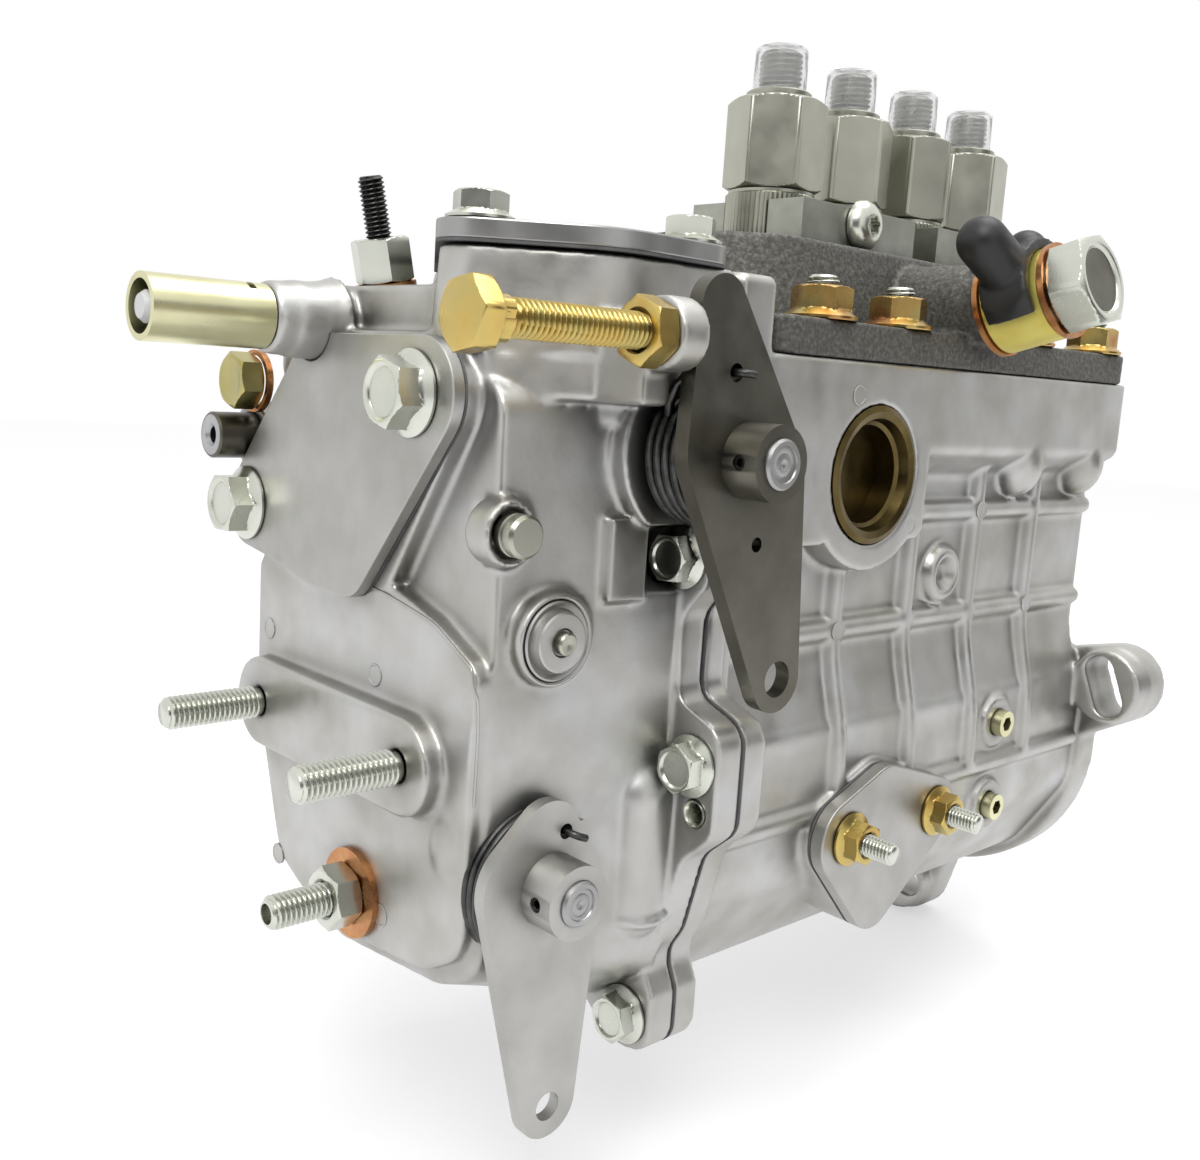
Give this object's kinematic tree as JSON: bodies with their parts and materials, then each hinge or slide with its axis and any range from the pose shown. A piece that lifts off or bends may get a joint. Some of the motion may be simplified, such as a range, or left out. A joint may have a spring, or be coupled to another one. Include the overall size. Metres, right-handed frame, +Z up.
{
  "type": "diesel injection pump",
  "caption": "In-line diesel fuel injection pump with a mechanical governor: ribbed housing, capped outlets in a row, slotted drive flange, speed and stop levers.",
  "frame": {"origin": "on the camshaft's axis at the drive flange's face", "axes": "+X out of the drive end along the camshaft, +Z up towards the outlets, levers on the -Y side"},
  "size_m": [0.345, 0.1524, 0.2828],
  "materials": {
    "cast_aluminium": "bright as-cast aluminium with machined faces",
    "gasket_paper": "grey gasket paper",
    "zinc_steel": "zinc plated, slightly greenish",
    "cover_steel": "warm grey brushed sheet steel",
    "cast_iron": "rough dark grey cast iron",
    "yellow_zinc": "yellow chromated zinc",
    "clear_plastic": "clear soft plastic",
    "lock_bar_steel": "dull zinc plated steel",
    "banjo_brass": "bright yellow plated metal",
    "black_rubber": "matt black rubber",
    "copper": "bright copper",
    "olive_brass": "dark olive passivated brass",
    "brass": "machined brass",
    "white_plastic": "white plastic",
    "dark_steel": "black oiled steel",
    "lever_steel": "warm grey plated steel",
    "machined_steel": "machined steel"
  },
  "bodies": {
    "pump": {"pump_housing": "cast_aluminium", "governor_case": "cast_aluminium", "gaskets": "gasket_paper", "m6_flange_bolts": "zinc_steel", "top_cover": "cover_steel", "rear_cover": "cover_steel", "rear_cover_bolts": "zinc_steel", "side_cover": "cover_steel", "outlet_head": "cast_iron", "head_studs": "zinc_steel", "head_nuts": "yellow_zinc", "side_cover_studs": "zinc_steel", "side_cover_nuts": "yellow_zinc", "delivery_valve_holders": "zinc_steel", "outlet_caps": "clear_plastic", "lock_bars": "lock_bar_steel", "lock_bar_screws": "zinc_steel", "inlet_banjo": "banjo_brass", "inlet_banjo_bolt": "yellow_zinc", "inlet_cap": "black_rubber", "copper_washers": "copper", "cup_plug": "olive_brass", "oil_plugs": "brass", "limiter_sleeve": "brass", "limiter_plunger": "white_plastic", "hex_plug": "zinc_steel", "return_nipple": "zinc_steel", "rear_studs": "zinc_steel", "adjusting_screw": "zinc_steel", "adjusting_nut": "zinc_steel", "slanted_stud": "dark_steel", "slanted_nut": "zinc_steel", "stop_screw": "yellow_zinc", "stop_screw_nut": "yellow_zinc", "case_pins": "zinc_steel", "bearing_outer_rings": "machined_steel", "oil_seal": "black_rubber", "barrels": "machined_steel", "delivery_valves": "machined_steel", "plunger_springs": "machined_steel", "tappets": "machined_steel", "lever_spring": "dark_steel", "governor_spring": "machined_steel"},
    "camshaft": {"camshaft": "machined_steel", "camshaft_nut": "machined_steel", "bearing_inner_rings": "machined_steel", "flyweight_carrier": "machined_steel"},
    "flyweight_1": {"flyweight_1": "machined_steel"},
    "flyweight_2": {"flyweight_2": "machined_steel"},
    "governor_sleeve": {"governor_sleeve": "machined_steel"},
    "governor_lever": {"governor_lever": "machined_steel"},
    "control_rack": {"control_rack": "machined_steel"},
    "speed_lever": {"speed_lever": "lever_steel", "speed_lever_shaft": "lever_steel"},
    "stop_lever": {"stop_lever": "lever_steel", "stop_lever_shaft": "lever_steel"},
    "pump_element_1": {"pump_element_1": "machined_steel"},
    "pump_element_2": {"pump_element_2": "machined_steel"},
    "pump_element_3": {"pump_element_3": "machined_steel"},
    "pump_element_4": {"pump_element_4": "machined_steel"}
  },
  "joints": [
    {"name": "camshaft_spin", "type": "hinge", "parent": "pump", "child": "camshaft", "pos_m": [0, 0, 0], "axis": [1, 0, 0], "continuous": true},
    {"name": "rack_slide", "type": "slide", "parent": "pump", "child": "control_rack", "axis": [1, 0, 0], "range_m": [0, 0.012]},
    {"name": "pump_element_1_turn", "type": "hinge", "parent": "pump", "child": "pump_element_1", "pos_m": [-0.13, 0, 0.099], "axis": [0, 0, 1], "range_deg": [0, 56.3]},
    {"name": "pump_element_2_turn", "type": "hinge", "parent": "pump", "child": "pump_element_2", "pos_m": [-0.098, 0, 0.099], "axis": [0, 0, 1], "range_deg": [0, 56.3]},
    {"name": "pump_element_3_turn", "type": "hinge", "parent": "pump", "child": "pump_element_3", "pos_m": [-0.066, 0, 0.099], "axis": [0, 0, 1], "range_deg": [0, 56.3]},
    {"name": "pump_element_4_turn", "type": "hinge", "parent": "pump", "child": "pump_element_4", "pos_m": [-0.034, 0, 0.099], "axis": [0, 0, 1], "range_deg": [0, 56.3]},
    {"name": "governor_lever_swing", "type": "hinge", "parent": "pump", "child": "governor_lever", "pos_m": [-0.237, 0, 0.024], "axis": [0, 1, 0], "range_deg": [0, 9.2]},
    {"name": "governor_sleeve_slide", "type": "slide", "parent": "pump", "child": "governor_sleeve", "axis": [1, 0, 0], "range_m": [-0.0031, 0]},
    {"name": "flyweight_1_swing", "type": "hinge", "parent": "camshaft", "child": "flyweight_1", "pos_m": [-0.208, 0, 0.02], "axis": [0, 1, 0], "range_deg": [0, 15.5]},
    {"name": "flyweight_2_swing", "type": "hinge", "parent": "camshaft", "child": "flyweight_2", "pos_m": [-0.208, 0, -0.02], "axis": [0, -1, 0], "range_deg": [0, 15.5]},
    {"name": "speed_lever_turn", "type": "hinge", "parent": "pump", "child": "speed_lever", "pos_m": [-0.2114, -0.066, 0.098], "axis": [0, 1, 0], "range_deg": [0, 40]},
    {"name": "stop_lever_turn", "type": "hinge", "parent": "pump", "child": "stop_lever", "pos_m": [-0.2432, -0.05, 0.0066], "axis": [0, 1, 0], "range_deg": [-25, 0]}
  ],
  "couplings": [
    {"joint": "pump_element_1_turn", "follows": "rack_slide", "rad_per_m": 81.812},
    {"joint": "pump_element_2_turn", "follows": "rack_slide", "rad_per_m": 81.812},
    {"joint": "pump_element_3_turn", "follows": "rack_slide", "rad_per_m": 81.812},
    {"joint": "pump_element_4_turn", "follows": "rack_slide", "rad_per_m": 81.812},
    {"joint": "governor_lever_swing", "follows": "rack_slide", "rad_per_m": 13.333},
    {"joint": "governor_sleeve_slide", "follows": "rack_slide", "ratio": -0.25},
    {"joint": "flyweight_1_swing", "follows": "rack_slide", "rad_per_m": 22.5},
    {"joint": "flyweight_2_swing", "follows": "rack_slide", "rad_per_m": 22.5}
  ]
}
